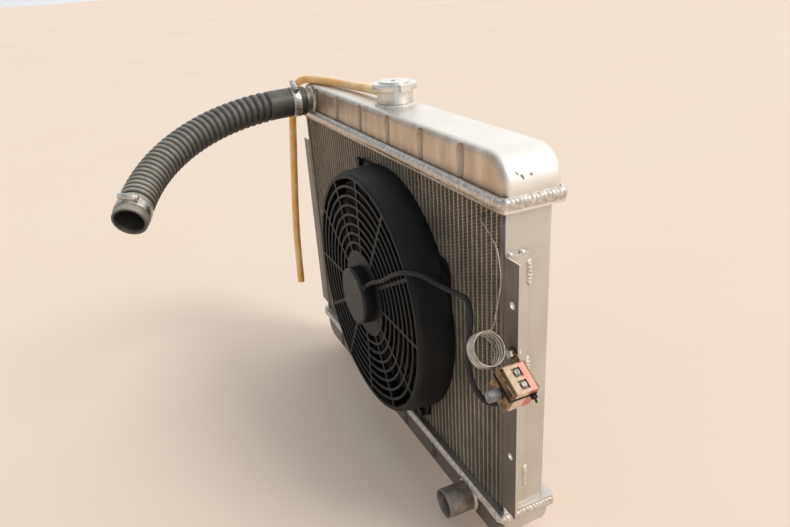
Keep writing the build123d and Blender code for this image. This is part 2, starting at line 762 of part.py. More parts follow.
with BuildPart() as switch_bolt:
    with BuildSketch(Plane.XZ.offset(bracket_wall)):
        with Locations((switch_bolt_x, switch_bolt_z)):
            RegularPolygon(bolt_head_radius, 6)
    extrude(amount=bolt_head)
    with BuildSketch(Plane.XZ.offset(bracket_wall)):
        with Locations((switch_bolt_x, switch_bolt_z)):
            Circle(switch_bolt_radius)
    extrude(amount=-(bracket_wall + angle_wall + bolt_head + bolt_end))
    with BuildSketch(Plane.XZ.offset(-angle_wall)):
        with Locations((switch_bolt_x, switch_bolt_z)):
            RegularPolygon(bolt_head_radius, 6)
    extrude(amount=-bolt_head)
write("switch_bolt", switch_bolt)

tie_plane = Plane(
    origin=on_switch(0, switch_height / 2 - switch_tie_edge, bracket_depth / 2),
    x_dir=switch_plane.x_dir,
    z_dir=switch_plane.y_dir,
)
with BuildPart() as switch_tie:
    with BuildSketch(tie_plane):
        with Locations((-bracket_wall / 2, 0)):
            Rectangle(switch_length + bracket_wall + 2 * switch_tie_wall, bracket_depth + 2 * switch_tie_wall)
            Rectangle(switch_length + bracket_wall, bracket_depth, mode=Mode.SUBTRACT)
        with Locations((switch_length / 2 + switch_tie_wall, bracket_depth / 2 - tie_lock_inset)):
            Rectangle(tie_lock_height, tie_lock_length, align=(Align.MIN, Align.CENTER))
    extrude(amount=switch_tie_width)
write("switch_tie", switch_tie)


def cord_radii(points):
    """The largest arc at each corner of a route: 0.45 of the shorter run sets it."""
    radii = []
    for before, corner, after in zip(points, points[1:], points[2:]):
        run_in, run_out = Vector(*corner) - Vector(*before), Vector(*after) - Vector(*corner)
        half_turn = radians(run_in.get_angle(run_out)) / 2
        radii.append(0.45 * min(run_in.length, run_out.length) / tan(half_turn))
    return radii


def cord(name, points, radius):
    """A plain tube along straight runs and tangent arcs."""
    radii = cord_radii(points)
    with BuildPart() as tube:
        with BuildLine():
            path = FilletPolyline(*points, radius=radii)
        with BuildSketch(Plane(origin=path @ 0, z_dir=path % 0)):
            Circle(radius)
        sweep()
    length = path.length
    print(name, "length", round(length, 1), "smallest radius", round(min(radii), 1),
          "volume ratio", round(tube.part.volume / (pi * radius**2 * length), 4))
    write(name, tube)


# Overflow hose from the nipple along the tank and down past its left end
overflow_route = [
    (-nipple_reach, tank_y, nipple_z),
    (-74, tank_y, nipple_z),
    (-114, 32, 253.5),
    (-160, 29, 252.2),
    (-208, 23, 251.6),
    (-254, 13, 251.2),
    (-290, 2, 250.6),
    (-311, -7, 243),
    (-320.5, -14, 223),
    (-323, -18, 190),
    (-324, -23, 140),
    (-324.5, -29, 80),
    (-325, -35, 15),
    (-324.8, -40, -55),
    (-324.2, -42, -130),
]
cord("overflow_hose", overflow_route, overflow_radius)

# Fan lead from the motor's outlet, across the guard and down to the switch
lead_start = outlet_root + outlet_way * motor_outlet_reach
switch_floor = on_switch(0, -switch_height / 2, bracket_wall + switch_depth / 2)
switch_below = on_switch(0, -switch_height / 2 - lead_drop, bracket_wall + switch_depth / 2)
lead_route = [
    tuple(lead_start),
    tuple(lead_start + outlet_way * lead_straight),
    (112, -53, 50),
    (148, -52, 74),
    (172, -49, 86),
    (194, -36, 88),
    (210, -22, 77),
    (238, -17, 78),
    (268, -20, 86),
    (286, -26, 72),
    (290, -34, 46),
    (291, -35, 18),
    (298, -31, -8),
    (313, -23, -22),
    tuple(switch_below),
    tuple(switch_floor),
]
cord("fan_lead", lead_route, lead_radius)

# Capillary: its coil as one solid with the stub into the bracket, and the run up to the fins
tilt = radians(coil_tilt)
coil_axis = Vector(cos(tilt), 0, sin(tilt))
coil_middle = Vector(coil_x, coil_y, coil_z)
coil_near = coil_middle + coil_axis * (coil_length / 2)
coil_rim_up = Vector(-sin(tilt), 0, cos(tilt)) * coil_radius
stub_end = on_switch(web_x - bracket_wall, stub_up, -coil_y)
with BuildPart() as capillary_coil:
    with BuildSketch(Plane(origin=coil_near, z_dir=-coil_axis)):
        Circle(coil_radius + capillary_radius)
    extrude(amount=coil_length)
    with BuildSketch(Plane(origin=stub_end, z_dir=-switch_plane.x_dir)):
        Circle(capillary_radius)
    extrude(amount=stub_length)
write("capillary_coil", capillary_coil)

coil_exit = coil_near + coil_rim_up
capillary_route = [
    tuple(coil_exit),
    tuple(coil_exit + coil_axis * coil_lead),
    (324, -23, 88),
    (321.6, -17, 105.5),
    (320, -12.5, 124),
    (312.5, -9, 139),
    (301, -6, 155.5),
    (283.5, -5, 166),
    (267.5, -6, 175.6),
    (267.5, core_face_y, 175.6),
]
cord("capillary_tube", capillary_route, capillary_radius)
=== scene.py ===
"""The looks of an aluminium radiator with its electric fan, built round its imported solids.

Metres, in the part's own frame: +X is the end nearest the camera, -Y the fan's side, +Z up, and
the origin is the middle of the mounting angles' four bolt holes.
"""
import math
import random

import bmesh
import bpy
from mathutils import Matrix, Vector


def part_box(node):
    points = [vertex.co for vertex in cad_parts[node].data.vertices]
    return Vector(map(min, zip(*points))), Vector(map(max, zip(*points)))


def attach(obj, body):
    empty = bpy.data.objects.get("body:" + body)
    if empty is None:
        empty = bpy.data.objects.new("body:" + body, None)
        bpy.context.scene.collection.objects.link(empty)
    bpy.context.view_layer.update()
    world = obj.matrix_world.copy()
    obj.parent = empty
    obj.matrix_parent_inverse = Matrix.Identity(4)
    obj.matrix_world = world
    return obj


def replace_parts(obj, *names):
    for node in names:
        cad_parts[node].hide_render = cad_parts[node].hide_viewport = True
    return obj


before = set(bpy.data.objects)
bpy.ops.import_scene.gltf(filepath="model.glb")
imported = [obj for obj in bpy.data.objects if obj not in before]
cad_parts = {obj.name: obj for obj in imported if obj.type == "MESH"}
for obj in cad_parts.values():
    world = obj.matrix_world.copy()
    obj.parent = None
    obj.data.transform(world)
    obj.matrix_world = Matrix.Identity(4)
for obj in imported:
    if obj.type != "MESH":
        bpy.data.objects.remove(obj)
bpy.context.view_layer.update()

MM = 0.001
RIGHT = Vector((1, 0, 0))
FRONT = Vector((0, 1, 0))
FAN_SIDE = Vector((0, -1, 0))
UP = Vector((0, 0, 1))

# The core's, header's and tank's places, as the frame's boxes give them
fins_low, fins_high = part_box("core_fins")
header_low, header_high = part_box("top_header")
tank_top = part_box("top_tank")[1].z


def linear(hex_colour):
    """An sRGB hex colour as the linear RGBA that the shaders take."""
    channels = [int(hex_colour[i:i + 2], 16) / 255 for i in (1, 3, 5)]
    return [c / 12.92 if c <= 0.04045 else ((c + 0.055) / 1.055) ** 2.4 for c in channels] + [1.0]


def add_node(tree, kind, inputs=None, **settings):
    """Adds a node with its settings; each input takes a value or a socket to link."""
    made = tree.nodes.new(kind)
    for name, value in settings.items():
        setattr(made, name, value)
    for name, value in (inputs or {}).items():
        if isinstance(value, bpy.types.NodeSocket):
            tree.links.new(value, made.inputs[name])
        else:
            made.inputs[name].default_value = value
    return made


def per(size_mm):
    """The scale that repeats a pattern every so many millimetres."""
    return 1000 / size_mm


finishes = {}

# A colour mix's own numbers for its two colours and for its result
FIRST, SECOND, MIXED = 6, 7, 2

# What the soft patches, and the patches times the grain, really cover of their range from 0 to 1
PATCH_LOW, PATCH_HIGH = 0.36, 0.64
WEAR_LOW, WEAR_HIGH = 0.12, 0.4


def new_finish(name):
    """A bare material: its tree, its shader and the place in the part's frame, in metres."""
    material = bpy.data.materials.new(name)
    material.use_nodes = True
    tree = material.node_tree
    tree.nodes.clear()
    shader = add_node(tree, "ShaderNodeBsdfPrincipled")
    add_node(tree, "ShaderNodeOutputMaterial", {"Surface": shader.outputs["BSDF"]})
    place = add_node(tree, "ShaderNodeTexCoord").outputs["Object"]
    finishes[name] = material
    return tree, shader, place


def worn_surface(name, dark, light, patch_mm, rough, grain_mm, depth_mm, stretch=(1, 1, 1), metallic=0.0):
    """Two colours in soft patches, roughness that wanders with them, and a fine grain in the surface.

    rough is the roughness at its least and its most, and stretch draws the grain out along an axis.
    """
    tree, shader, place = new_finish(name)
    shader.inputs["Metallic"].default_value = metallic
    patch = add_node(tree, "ShaderNodeTexNoise", {"Vector": place, "Scale": per(patch_mm),
                                                  "Detail": 5.0, "Roughness": 0.6}).outputs["Fac"]
    spread = add_node(tree, "ShaderNodeMapRange",
                      {"Value": patch, "From Min": PATCH_LOW, "From Max": PATCH_HIGH}).outputs["Result"]
    colour = add_node(tree, "ShaderNodeMix", {"Factor": spread, FIRST: linear(dark), SECOND: linear(light)},
                      data_type="RGBA").outputs[MIXED]
    tree.links.new(colour, shader.inputs["Base Color"])
    drawn = add_node(tree, "ShaderNodeVectorMath", {0: place, 1: stretch}, operation="MULTIPLY").outputs[0]
    grain = add_node(tree, "ShaderNodeTexNoise", {"Vector": drawn, "Scale": per(grain_mm),
                                                  "Detail": 3.0, "Roughness": 0.6}).outputs["Fac"]
    wear = add_node(tree, "ShaderNodeMath", {0: patch, 1: grain}, operation="MULTIPLY").outputs[0]
    roughness = add_node(tree, "ShaderNodeMapRange",
                         {"Value": wear, "From Min": WEAR_LOW, "From Max": WEAR_HIGH,
                          "To Min": rough[0], "To Max": rough[1]}).outputs["Result"]
    tree.links.new(roughness, shader.inputs["Roughness"])
    bump = add_node(tree, "ShaderNodeBump", {"Height": grain, "Distance": depth_mm * MM, "Strength": 1.0})
    tree.links.new(bump.outputs["Normal"], shader.inputs["Normal"])
    return tree, shader, place, colour


# Weld beads: cleaner, brighter metal than the sheet, with fine frozen ripples
worn_surface("weld_aluminium", "#BDB4A9", "#E6E1D9",
             patch_mm=4, rough=(0.4, 0.55), grain_mm=0.5, depth_mm=0.015, metallic=1.0)

# Drawn neck tube: scoured matt and grey where hoses have been pushed on and off
worn_surface("scoured_neck", "#857B72", "#A59B91",
             patch_mm=9, rough=(0.5, 0.66), grain_mm=0.6, depth_mm=0.015, metallic=1.0)

# Pressed stainless: polished, with faint wipe marks, so it is the brightest thing in view
worn_surface("stainless_cap", "#D8D5CF", "#E9E7E2",
             patch_mm=20, rough=(0.24, 0.34), grain_mm=0.5, depth_mm=0.002, metallic=1.0)

# Dull brass: brown-gold, with darker spots
worn_surface("brass", "#8A6A34", "#B8924C",
             patch_mm=7, rough=(0.32, 0.5), grain_mm=0.6, depth_mm=0.01, metallic=1.0)

# Moulded black nylon: fine grain, with road dust that greys it in soft patches
nylon_shader = worn_surface("black_moulding", "#070809", "#0F1013",
                            patch_mm=22, rough=(0.45, 0.6), grain_mm=0.45, depth_mm=0.02)[1]
nylon_shader.inputs["Specular IOR Level"].default_value = 0.3

# Satin black paint on the motor's drawn can, with dust on it
worn_surface("black_motor", "#09090A", "#141413",
             patch_mm=16, rough=(0.4, 0.55), grain_mm=0.9, depth_mm=0.012)

# Stainless clamp band: bright, with a little grey wear
worn_surface("clamp_steel", "#ABA79F", "#D9D6CF",
             patch_mm=8, rough=(0.28, 0.42), grain_mm=0.4, depth_mm=0.006, metallic=1.0)

# Yellow-passivated zinc on steel: brown-gold and pink patches
worn_surface("zinc_plated_steel", "#54402F", "#A98F70",
             patch_mm=7, rough=(0.3, 0.48), grain_mm=0.5, depth_mm=0.008, metallic=1.0)

# Grey plastic knob, lightly scuffed
worn_surface("grey_plastic", "#6C6B68", "#9A9893",
             patch_mm=6, rough=(0.36, 0.52), grain_mm=0.5, depth_mm=0.008)

# Bright drawn steel tube
worn_surface("bare_steel_capillary", "#948C81", "#C4BBAE",
             patch_mm=8, rough=(0.34, 0.5), grain_mm=0.4, depth_mm=0.003, metallic=1.0)

# The floor: pale, warm and matt
worn_surface("pale_floor", "#EAD5C1", "#ECD9C7",
             patch_mm=1500, rough=(0.85, 0.95), grain_mm=5.0, depth_mm=0.1)

# Painted shade and road dirt in the core, which darken it inwards: how far behind its faces they start and
# cover all
DEEP_SHADE_AND_DIRT_STARTS = 0.1 * MM
DEEP_SHADE_AND_DIRT_COVERS = 2.9 * MM


def brazed_core():
    """Brazed core aluminium: dull beige at its faces, dark brown a few millimetres in, as painted shade of
    the core's depth and road dirt.
    """
    tree, shader, place, colour = worn_surface(
        "core_aluminium", "#9A9080", "#B8AC9A",
        patch_mm=60, rough=(0.45, 0.6), grain_mm=0.8, depth_mm=0.02, metallic=0.6)
    middle = (fins_low.y + fins_high.y) / 2
    half_depth = (fins_high.y - fins_low.y) / 2
    across = add_node(tree, "ShaderNodeSeparateXYZ", {0: place}).outputs["Y"]
    offset = add_node(tree, "ShaderNodeMath", {0: across, 1: middle}, operation="SUBTRACT").outputs[0]
    reach = add_node(tree, "ShaderNodeMath", {0: offset}, operation="ABSOLUTE").outputs[0]
    inside = add_node(tree, "ShaderNodeMapRange",
                      {"Value": reach, "From Min": half_depth - DEEP_SHADE_AND_DIRT_STARTS,
                       "From Max": half_depth - DEEP_SHADE_AND_DIRT_COVERS}).outputs["Result"]
    # Painted shade, partly road dirt: the fins go dark brown a few millimetres in from the core's faces
    mixed = add_node(tree, "ShaderNodeMix", {"Factor": inside, FIRST: colour, SECOND: linear("#20150C")},
                     data_type="RGBA").outputs[MIXED]
    tree.links.new(mixed, shader.inputs["Base Color"])


# Painted reflection on the sheet, a dark warm tan on faces turned to the fan: the Y part of a face's
# direction where it starts and where it covers all
REFLECTION_STARTS, REFLECTION_COVERS = -0.35, -0.7
# Between these heights, towards the tank's top, the painted reflection thins to this share
REFLECTION_FADES_FROM, REFLECTION_FADES_TO = 0.24, 0.248
REFLECTION_REST = 0.2
# Between these heights, at the header's lower edge, painted shade from the header turns the sheet grey and
# dims its bare metal
SHADE_STARTS, SHADE_COVERS = 0.19, 0.186
# Along Z the painted reflection's streaks are drawn out to about three times their width
STREAK_MM = 34
STREAK_DRAWN = (1, 1, 0.3)


def painted_fan_side_reflection(tree, place, metal):
    """Painted reflection in tan streaks on the faces turned to the fan: how much of it there is, and the
    sheet's colour with it.
    """
    height = add_node(tree, "ShaderNodeSeparateXYZ", {0: place}).outputs["Z"]
    normal = add_node(tree, "ShaderNodeTexCoord").outputs["Normal"]
    facing = add_node(tree, "ShaderNodeSeparateXYZ", {0: normal}).outputs["Y"]
    # Painted reflection: faces turned to the fan take a darker tan by their direction alone
    sideways = add_node(tree, "ShaderNodeMapRange",
                        {"Value": facing, "From Min": REFLECTION_STARTS, "From Max": REFLECTION_COVERS}).outputs["Result"]
    fade_to_top = add_node(tree, "ShaderNodeMapRange",
                     {"Value": height, "From Min": REFLECTION_FADES_FROM, "From Max": REFLECTION_FADES_TO,
                      "To Min": 1.0, "To Max": REFLECTION_REST}).outputs["Result"]
    reflection_share = add_node(tree, "ShaderNodeMath", {0: sideways, 1: fade_to_top}, operation="MULTIPLY").outputs[0]
    upright = add_node(tree, "ShaderNodeVectorMath", {0: place, 1: STREAK_DRAWN},
                       operation="MULTIPLY").outputs[0]
    streak = add_node(tree, "ShaderNodeTexNoise", {"Vector": upright, "Scale": per(STREAK_MM),
                                                   "Detail": 8.0, "Roughness": 0.62}).outputs["Fac"]
    run = add_node(tree, "ShaderNodeMapRange",
                   {"Value": streak, "From Min": 0.35, "From Max": 0.68}).outputs["Result"]
    streaked = add_node(tree, "ShaderNodeMix",
                        {"Factor": run, FIRST: linear("#E2D3C1"), SECOND: linear("#BCA78F")},
                        data_type="RGBA").outputs[MIXED]
    # Painted shade under the header: grey where the painted reflection is, and the bare metal a little dimmer
    below = add_node(tree, "ShaderNodeMapRange",
                     {"Value": height, "From Min": SHADE_STARTS, "From Max": SHADE_COVERS}).outputs["Result"]
    under_header_shade = add_node(tree, "ShaderNodeMix", {"Factor": below, FIRST: streaked, SECOND: linear("#7E7974")},
                     data_type="RGBA").outputs[MIXED]
    shaded_metal = add_node(tree, "ShaderNodeMix", {"Factor": below, FIRST: metal, SECOND: linear("#E3E2E1")},
                      data_type="RGBA", blend_type="MULTIPLY").outputs[MIXED]
    reflected_sheet = add_node(tree, "ShaderNodeMix", {"Factor": reflection_share, FIRST: shaded_metal, SECOND: under_header_shade},
                      data_type="RGBA").outputs[MIXED]
    return reflection_share, reflected_sheet


# Painted shade in the corners: how far from one it reaches, and its share where there is no painted
# reflection
CORNER_REACH = 13 * MM
CORNER_REST = 0.15


def painted_corner_shade(tree, reflection_share, sheet):
    """Painted shade, dark brown, in the corners and grooves, most of it where the painted reflection is."""
    # Painted shade: darker where ambient occlusion finds a corner or a groove
    open_sky = add_node(tree, "ShaderNodeAmbientOcclusion",
                        {"Distance": CORNER_REACH}, samples=6).outputs["AO"]
    cornered = add_node(tree, "ShaderNodeMapRange",
                      {"Value": open_sky, "From Min": 0.985, "From Max": 0.8}).outputs["Result"]
    where_reflected = add_node(tree, "ShaderNodeMapRange", {"Value": reflection_share, "To Min": CORNER_REST}).outputs["Result"]
    corner_shade = add_node(tree, "ShaderNodeMath", {0: cornered, 1: where_reflected}, operation="MULTIPLY").outputs[0]
    return add_node(tree, "ShaderNodeMix", {"Factor": corner_shade, FIRST: sheet, SECOND: linear("#5A4D41")},
                    data_type="RGBA").outputs[MIXED]


# Scuffs on the tank's near end: their middle, their flecks' size, and the distance that a whole fleck bridges
SCUFF_PLACE = (0.3055, 0.018, 0.2245)
FLECK_MM = 9
SCUFF_CARRY = 80 * MM
# The distance from the middle less what the fleck bridges, where a scuff starts and where it covers all
SCUFF_STARTS, SCUFF_COVERS = -39.5 * MM, -42 * MM


def knocked_end(tree, place, sheet):
    """Grey scuffs where the near end of the tank has been knocked."""
    distance = add_node(tree, "ShaderNodeVectorMath", {0: place, 1: SCUFF_PLACE},
                        operation="DISTANCE").outputs["Value"]
    flecks = add_node(tree, "ShaderNodeTexNoise",
                      {"Vector": place, "Scale": per(FLECK_MM), "Detail": 4.0}).outputs["Fac"]
    reach = add_node(tree, "ShaderNodeMath", {0: flecks, 1: -SCUFF_CARRY, 2: distance},
                     operation="MULTIPLY_ADD").outputs[0]
    scuff = add_node(tree, "ShaderNodeMapRange",
                     {"Value": reach, "From Min": SCUFF_STARTS, "From Max": SCUFF_COVERS}).outputs["Result"]
    return add_node(tree, "ShaderNodeMix", {"Factor": scuff, FIRST: sheet, SECOND: linear("#8C8078")},
                    data_type="RGBA").outputs[MIXED]


def sheet_aluminium():
    """Mill-finish sheet: bright rolled metal, with painted reflection on the sides towards the fan, and
    painted shade under the header and in the corners.
    """
    tree, shader, place, metal = worn_surface(
        "welded_aluminium", "#E4E0D9", "#F0EDE8",
        patch_mm=70, rough=(0.38, 0.5), grain_mm=0.7, depth_mm=0.006, stretch=(0.06, 1, 1), metallic=1.0)
    reflection_share, reflected_sheet = painted_fan_side_reflection(tree, place, metal)
    shaded_sheet = painted_corner_shade(tree, reflection_share, reflected_sheet)
    tree.links.new(knocked_end(tree, place, shaded_sheet), shader.inputs["Base Color"])


# The switch's handled end: where along Y it starts to be bare and is all bare
BARE_STARTS, BARE_COVERS = -7.6 * MM, -8.2 * MM
# Chips in that edge: their size, and how far they shift it
CHIP_MM = 4
CHIP_REACH = 5 * MM
# Painted shade darkens the switch's hollows this far from their walls
HOLLOW_REACH = 2.5 * MM


def worn_resin():
    """Salmon phenolic resin, deeper red with painted shade on its sides and undersides and in its hollows,
    its knob end handled bare to a cream.
    """
    tree, shader, place, colour = worn_surface(
        "tan_phenolic", "#E39A87", "#F0B0A0", patch_mm=14, rough=(0.34, 0.5), grain_mm=0.5, depth_mm=0.006)
    across = add_node(tree, "ShaderNodeSeparateXYZ", {0: place}).outputs["Y"]
    normal = add_node(tree, "ShaderNodeTexCoord").outputs["Normal"]
    facing = add_node(tree, "ShaderNodeSeparateXYZ", {0: normal}).outputs["Z"]
    # Painted shade: faces that turn down or aside take a deeper red
    shaded = add_node(tree, "ShaderNodeMapRange",
                      {"Value": facing, "From Min": 0.4, "From Max": -0.2}).outputs["Result"]
    salmon = add_node(tree, "ShaderNodeMix", {"Factor": shaded, FIRST: colour, SECOND: linear("#C06A54")},
                      data_type="RGBA").outputs[MIXED]
    chips = add_node(tree, "ShaderNodeTexNoise",
                     {"Vector": place, "Scale": per(CHIP_MM), "Detail": 5.0}).outputs["Fac"]
    edge = add_node(tree, "ShaderNodeMath", {0: chips, 1: CHIP_REACH, 2: across},
                    operation="MULTIPLY_ADD").outputs[0]
    worn = add_node(tree, "ShaderNodeMapRange",
                    {"Value": edge, "From Min": BARE_STARTS, "From Max": BARE_COVERS}).outputs["Result"]
    bare = add_node(tree, "ShaderNodeMix",
                    {"Factor": chips, FIRST: linear("#AB7F52"), SECOND: linear("#F7E3CB")},
                    data_type="RGBA").outputs[MIXED]
    resin = add_node(tree, "ShaderNodeMix", {"Factor": worn, FIRST: salmon, SECOND: bare},
                     data_type="RGBA").outputs[MIXED]
    # Painted shade: dark brown where ambient occlusion finds a hollow
    open_sky = add_node(tree, "ShaderNodeAmbientOcclusion",
                        {"Distance": HOLLOW_REACH}, samples=6).outputs["AO"]
    unshaded = add_node(tree, "ShaderNodeMapRange",
                     {"Value": open_sky, "From Min": 0.5, "From Max": 0.8}).outputs["Result"]
    mixed = add_node(tree, "ShaderNodeMix", {"Factor": unshaded, FIRST: linear("#33261C"), SECOND: resin},
                     data_type="RGBA").outputs[MIXED]
    tree.links.new(mixed, shader.inputs["Base Color"])


# The sleeve's strands lean this many radians each way, and stand out this far
STRAND_LEAN = 0.7
STRAND_RELIEF = 0.25 * MM
# A wave repeats about every third of its scale, so this draws strands 2.2 mm apart, coarse enough to show
STRAND_WAVE_MM = 7.0


def braided_sleeve():
    """Woven black sleeve: a fine crosswise weave in relief."""
    tree, shader, place = worn_surface(
        "black_sleeve", "#0B0B0C", "#1D1C1C",
        patch_mm=20, rough=(0.5, 0.7), grain_mm=0.8, depth_mm=0.03)[:3]
    strands = []
    for lean in (STRAND_LEAN, -STRAND_LEAN):
        leaning = add_node(tree, "ShaderNodeVectorRotate", {"Vector": place, "Angle": lean},
                           rotation_type="Y_AXIS").outputs[0]
        strands.append(add_node(tree, "ShaderNodeTexWave",
                                {"Vector": leaning, "Scale": per(STRAND_WAVE_MM), "Distortion": 0.6},
                                bands_direction="X").outputs["Fac"])
    height = add_node(tree, "ShaderNodeMath", {0: strands[0], 1: strands[1]}, operation="MULTIPLY").outputs[0]
    bump = add_node(tree, "ShaderNodeBump", {"Height": height, "Distance": STRAND_RELIEF, "Strength": 1.0})
    tree.links.new(bump.outputs["Normal"], shader.inputs["Normal"])


# Dust and painted light on the hose: their share on the underside of a rib, which leaves painted shade there,
# the size of the specks and how much they vary it
UNDERSIDE_SHADE_SHARE = 0.25
SPECK_MM = 3.0
SPECK_STRENGTH = 0.25


def hose_rubber():
    """Ribbed hose rubber: near black with painted shade in its grooves and under its ribs, light with dust
    and painted light where a rib faces up, most at its free end.
    """
    tree, shader, place, crown_colour = worn_surface(
        "black_hose_rubber", "#827D72", "#AAA395",
        patch_mm=26, rough=(0.36, 0.52), grain_mm=0.9, depth_mm=0.04)
    dust_and_crown_light = add_node(tree, "ShaderNodeAttribute",
                    attribute_name="dust_and_crown_light", attribute_type="GEOMETRY").outputs["Fac"]
    normal = add_node(tree, "ShaderNodeTexCoord").outputs["Normal"]
    facing = add_node(tree, "ShaderNodeSeparateXYZ", {0: normal}).outputs["Z"]
    # Painted shade: the undersides of the ribs keep only a small share of the light colour
    upward_light = add_node(tree, "ShaderNodeMapRange",
                       {"Value": facing, "From Min": -0.6, "From Max": 0.7,
                        "To Min": UNDERSIDE_SHADE_SHARE}).outputs["Result"]
    dust_and_light_above = add_node(tree, "ShaderNodeMath", {0: dust_and_crown_light, 1: upward_light}, operation="MULTIPLY").outputs[0]
    speck = add_node(tree, "ShaderNodeTexNoise",
                     {"Vector": place, "Scale": per(SPECK_MM), "Detail": 6.0}).outputs["Fac"]
    centred = add_node(tree, "ShaderNodeMath", {0: speck, 1: 0.5}, operation="SUBTRACT").outputs[0]
    cover = add_node(tree, "ShaderNodeMath", {0: centred, 1: SPECK_STRENGTH, 2: dust_and_light_above},
                     operation="MULTIPLY_ADD", use_clamp=True).outputs[0]
    # Crowns take the light colour, partly dust and partly painted light; the grooves stay near black as
    # painted shade
    mixed = add_node(tree, "ShaderNodeMix", {"Factor": cover, FIRST: linear("#1C1B18"), SECOND: crown_colour},
                     data_type="RGBA").outputs[MIXED]
    tree.links.new(mixed, shader.inputs["Base Color"])


def amber_tube():
    """Soft amber tubing that light goes through: glossy outside, deeper in colour where it is thick."""
    shader = worn_surface("amber_tubing", "#F7B856", "#FFDA9A",
                          patch_mm=30, rough=(0.14, 0.28), grain_mm=2.5, depth_mm=0.02)[1]
    shader.inputs["Subsurface Weight"].default_value = 0.5
    shader.inputs["Subsurface Radius"].default_value = (1.0, 0.45, 0.12)
    shader.inputs["Subsurface Scale"].default_value = 4 * MM
    shader.inputs["Coat Weight"].default_value = 0.35
    shader.inputs["Coat Roughness"].default_value = 0.1


for make_finish in (brazed_core, sheet_aluminium, worn_resin, braided_sleeve, hose_rubber, amber_tube):
    make_finish()


# Camera: the photograph's view
CAMERA_PLACE = (0.8012, -0.3337, 0.4059)
CAMERA_AZIMUTH = 66.4
CAMERA_ELEVATION = 24.04
CAMERA_ROLL = -3.9
CAMERA_LENS = 29.8
CAMERA_SENSOR = 36.0

camera_data = bpy.data.cameras.new("camera")
camera_data.lens = CAMERA_LENS
camera_data.sensor_width = CAMERA_SENSOR
camera_data.sensor_fit = "HORIZONTAL"
camera_data.clip_start = 10 * MM
camera = bpy.data.objects.new("camera", camera_data)
bpy.context.scene.collection.objects.link(camera)
bpy.context.scene.camera = camera
camera.matrix_world = (
    Matrix.Translation(CAMERA_PLACE)
    @ Matrix.Rotation(math.radians(CAMERA_AZIMUTH), 4, "Z")
    @ Matrix.Rotation(math.radians(90 - CAMERA_ELEVATION), 4, "X")
    @ Matrix.Rotation(math.radians(CAMERA_ROLL), 4, "Z")
)


def cord_curve(name, points_mm, diameter_mm, slot):
    """A smooth tube along a route of control points, in millimetres."""
    curve = bpy.data.curves.new(name, "CURVE")
    curve.dimensions = "3D"
    curve.bevel_depth = diameter_mm / 2 * MM
    curve.bevel_resolution = 6
    curve.resolution_u = 10
    curve.use_fill_caps = True
    spline = curve.splines.new("NURBS")
    spline.points.add(len(points_mm) - 1)
    for point, place in zip(spline.points, points_mm):
        point.co = [c * MM for c in place] + [1.0]
    spline.order_u = 3
    spline.use_endpoint_u = True
    spline.use_smooth = True
    curve.materials.append(finishes[slot])
    piece = bpy.data.objects.new(name, curve)
    bpy.context.scene.collection.objects.link(piece)
    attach(piece, "radiator")
    return piece


# Overflow hose: from the filler's nipple along the tank and down past the far end
OVERFLOW_ROUTE = [
    (-46, 33, 255), (-74, 33, 255), (-114, 32, 253.5), (-160, 29, 252.2), (-208, 23, 251.6),
    (-254, 13, 251.2), (-290, 2, 250.6), (-311, -7, 243), (-320.5, -14, 223), (-323, -18, 190),
    (-324, -23, 140), (-324.5, -29, 80), (-325, -35, 15), (-324.8, -40, -55), (-324.2, -42, -130),
]
overflow_hose = cord_curve("overflow_hose_tube", OVERFLOW_ROUTE, 13, "amber_tubing")
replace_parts(overflow_hose, "overflow_hose")

# Fan lead: two wires in a woven sleeve, from the motor to the switch
FAN_LEAD_ROUTE = [
    (61.3, -54, 23.05), (77.1, -54, 35.4), (112, -53, 50), (148, -52, 74), (172, -49, 86),
    (194, -36, 88), (210, -22, 77), (238, -17, 78), (268, -20, 86), (286, -26, 72), (290, -34, 46),
    (291, -35, 18), (298, -31, -8), (313, -23, -22), (331.45, -13.5, -7.68), (338.45, -13.5, 4.44),
]
fan_lead = cord_curve("fan_lead_sleeve", FAN_LEAD_ROUTE, 6, "black_sleeve")
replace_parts(fan_lead, "fan_lead")

# Capillary: out of the bracket, round its coil and up to the fins, in millimetres
CAPILLARY_START = [(334.5, -29, 31.6), (329.5, -28, 33.0), (323.5, -25, 31.2)]
CAPILLARY_END = [
    (318.6, -23.5, 73.5), (322.6, -22.4, 80), (324, -22, 90), (321.6, -17, 105.5), (320, -12.5, 124),
    (312.5, -9, 139), (301, -6, 155.5), (283.5, -5, 166), (267.5, -6, 175.6), (267.5, 2, 175.6),
]
# Its coil, in millimetres: the turns start narrower along Y, and sway and lean a little
COIL_CENTRE = Vector((315.5, -29, 50.5))
COIL_TILT = math.radians(36.9)
COIL_AXIS = Vector((math.cos(COIL_TILT), 0, math.sin(COIL_TILT)))
COIL_UP = Vector((-COIL_AXIS.z, 0, COIL_AXIS.x))
COIL_RADIUS = 17.8
COIL_FAR_REACH = 14.0
COIL_HALF_LENGTH = 12.4
COIL_TURNS = 5.5
COIL_POINTS = 16
COIL_SWAY = 0.9
COIL_LEAN = 1.0


